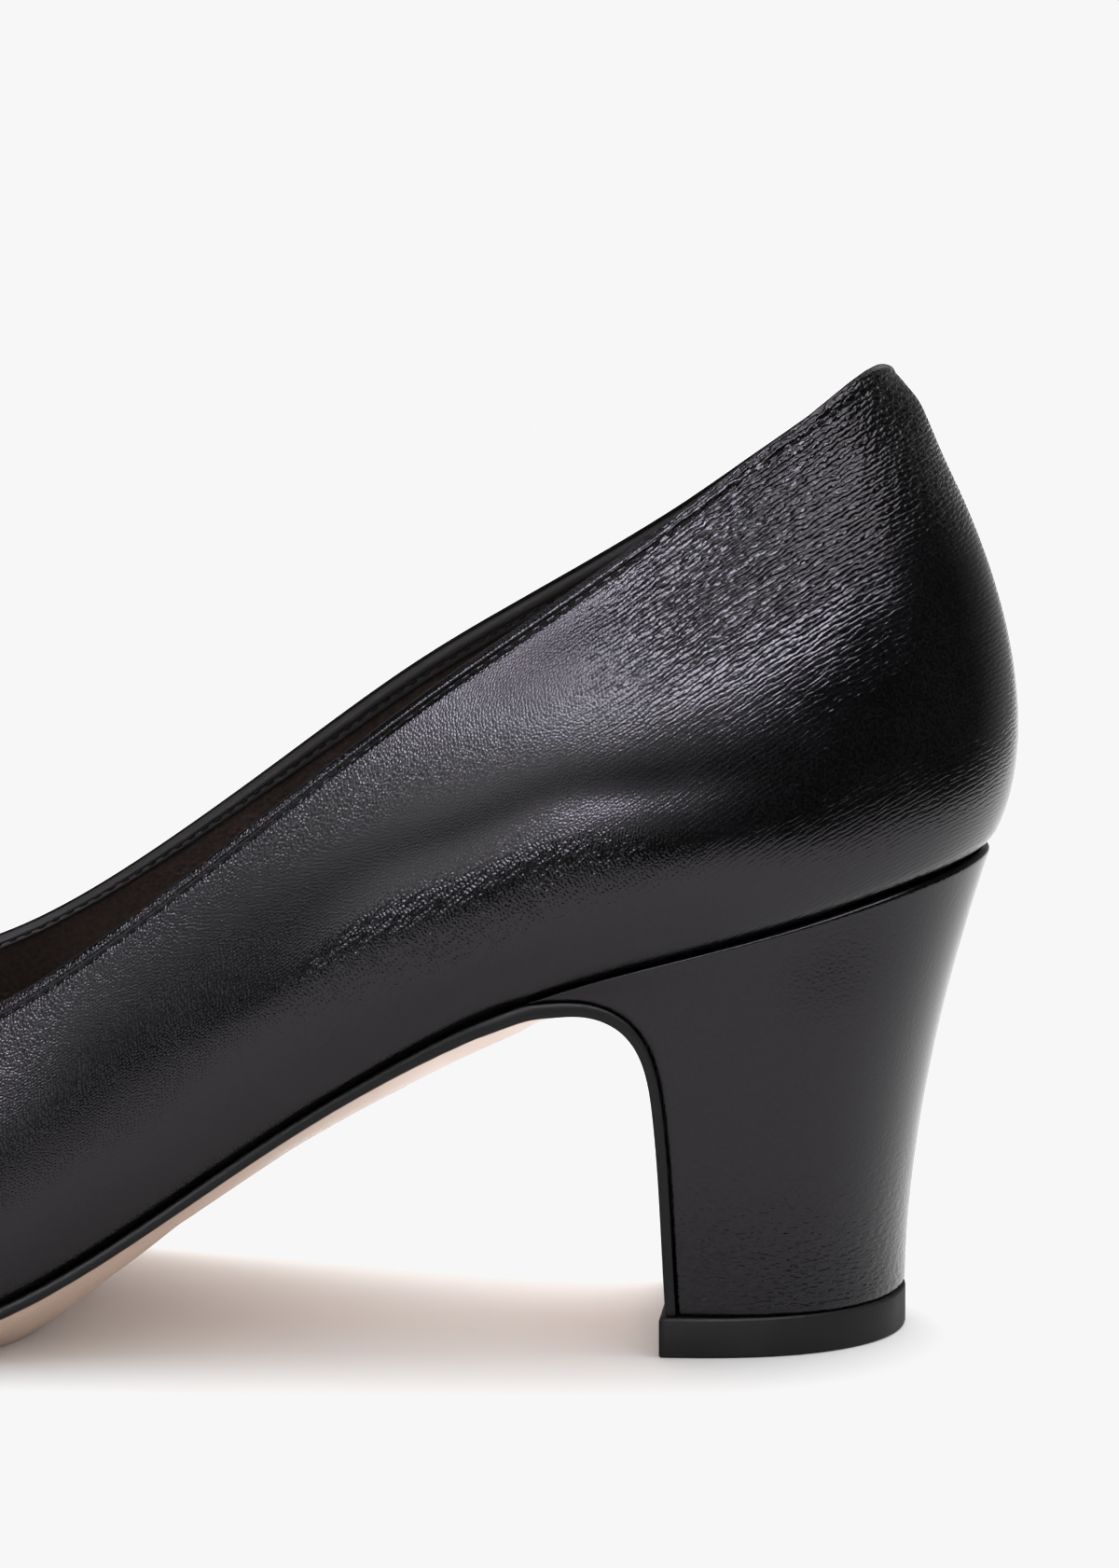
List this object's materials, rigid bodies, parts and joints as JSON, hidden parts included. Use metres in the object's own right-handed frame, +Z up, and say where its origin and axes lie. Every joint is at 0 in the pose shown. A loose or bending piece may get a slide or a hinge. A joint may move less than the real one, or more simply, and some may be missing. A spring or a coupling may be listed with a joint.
{
  "type": "block heel court shoe",
  "caption": "Black leather court shoe for the right foot with a low-cut collar, a slim crowned sole and a covered block heel with a rubber top piece.",
  "frame": {"origin": "middle of the shoe's footprint box, on the floor it stands on", "axes": "+X from the toe towards the back of the heel, +Y to the outer side of the right foot, +Z up"},
  "size_m": [0.2384, 0.0808, 0.1102],
  "materials": {
    "upper_leather": "glossy black kid with a fine wrinkled grain",
    "sole_leather": "smooth tan sole leather, its edge inked black",
    "heel_cover": "glossy black kid stretched over the heel block",
    "top_piece_rubber": "matt black rubber",
    "insole_leather": "dark brown matt lining leather"
  },
  "bodies": {
    "root": {"upper": "upper_leather", "outsole": "sole_leather", "heel": "heel_cover", "top_piece": "top_piece_rubber", "insole": "insole_leather"}
  },
  "joints": []
}
